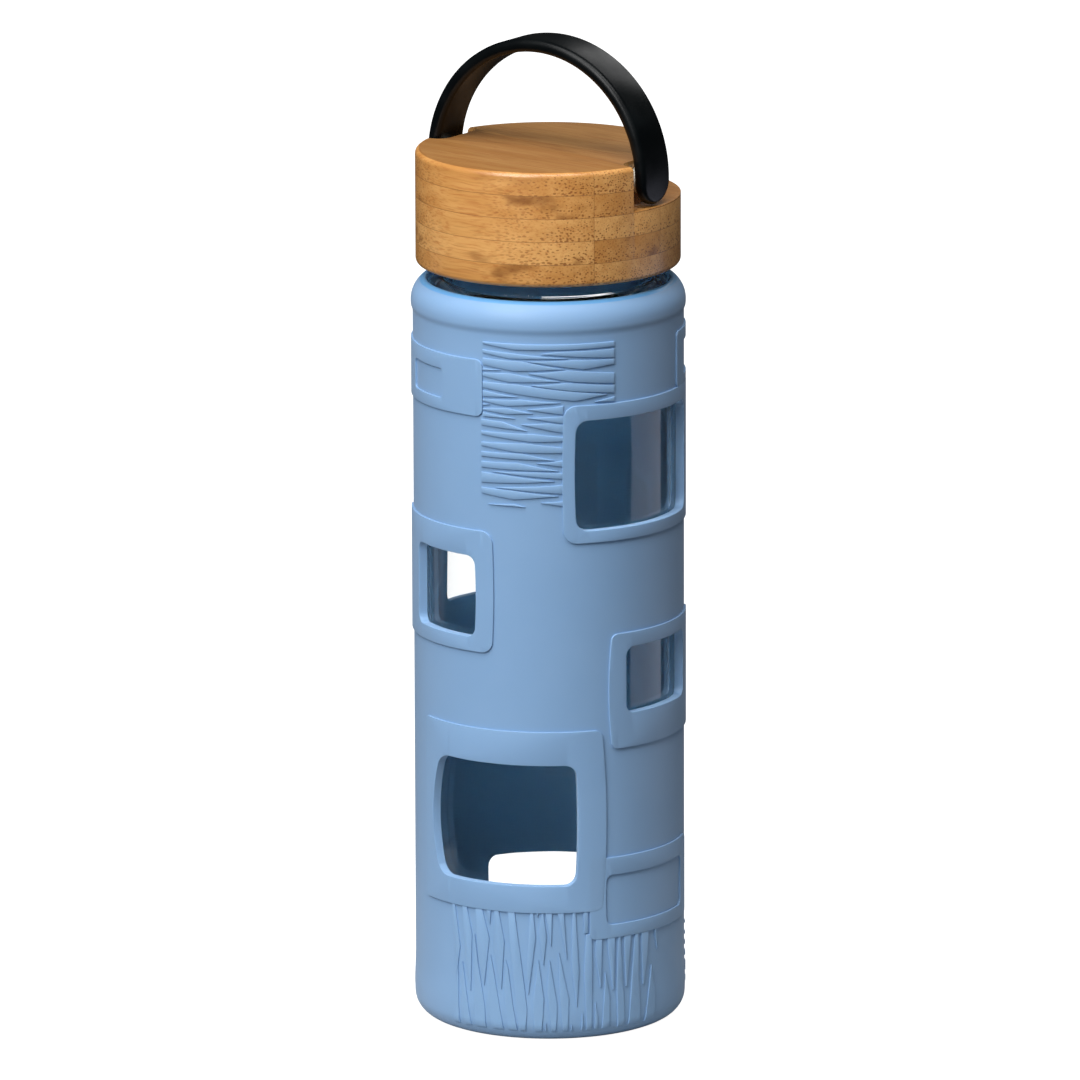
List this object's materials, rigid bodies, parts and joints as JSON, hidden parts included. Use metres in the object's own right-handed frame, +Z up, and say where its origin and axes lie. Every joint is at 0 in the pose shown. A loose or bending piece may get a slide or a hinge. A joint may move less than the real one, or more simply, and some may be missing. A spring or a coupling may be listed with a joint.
{
  "type": "glass water bottle",
  "caption": "Round glass bottle in a soft sleeve with cut-out windows, closed by a turned bamboo screw cap with a swinging carry strap.",
  "frame": {"origin": "centre of the base, on the surface that the bottle stands on", "axes": "+Z up along the bottle's axis, X along the strap's pivot line with +X at the open notch, +Y to the back"},
  "size_m": [0.0712, 0.0712, 0.2591],
  "materials": {
    "glass": "clear pressed glass",
    "sleeve_silicone": "matt moulded silicone",
    "seal_silicone": "moulded silicone",
    "bamboo": "satin varnished laminated bamboo",
    "liner_plastic": "moulded polypropylene",
    "strap_rubber": "satin moulded thermoplastic rubber",
    "pin_steel": "turned stainless steel",
    "bush_brass": "turned brass",
    "washer_plastic": "nylon"
  },
  "bodies": {
    "bottle": {"glass_bottle": "glass", "silicone_sleeve": "sleeve_silicone"},
    "seal": {"cap_seal": "seal_silicone"},
    "cap": {"bamboo_cap": "bamboo", "cap_liner": "liner_plastic", "pivot_bush_left": "bush_brass", "pivot_bush_right": "bush_brass"},
    "strap": {"carry_strap": "strap_rubber", "pivot_pin_left": "pin_steel", "pivot_pin_right": "pin_steel", "pivot_washer_left": "washer_plastic", "pivot_washer_right": "washer_plastic"}
  },
  "joints": [
    {"name": "cap_rise", "type": "slide", "parent": "bottle", "child": "seal", "axis": [0, 0, 1], "range_m": [0, 0.00801]},
    {"name": "cap_turn", "type": "hinge", "parent": "seal", "child": "cap", "pos_m": [0, 0, 0.2], "axis": [0, 0, 1], "range_deg": [0, 720]},
    {"name": "strap_swing", "type": "hinge", "parent": "cap", "child": "strap", "pos_m": [0, 0, 0.225], "axis": [-1, 0, 0], "range_deg": [-5, 30]}
  ],
  "couplings": [
    {"joint": "cap_rise", "follows": "cap_turn", "m_per_rad": 0.00063662}
  ]
}
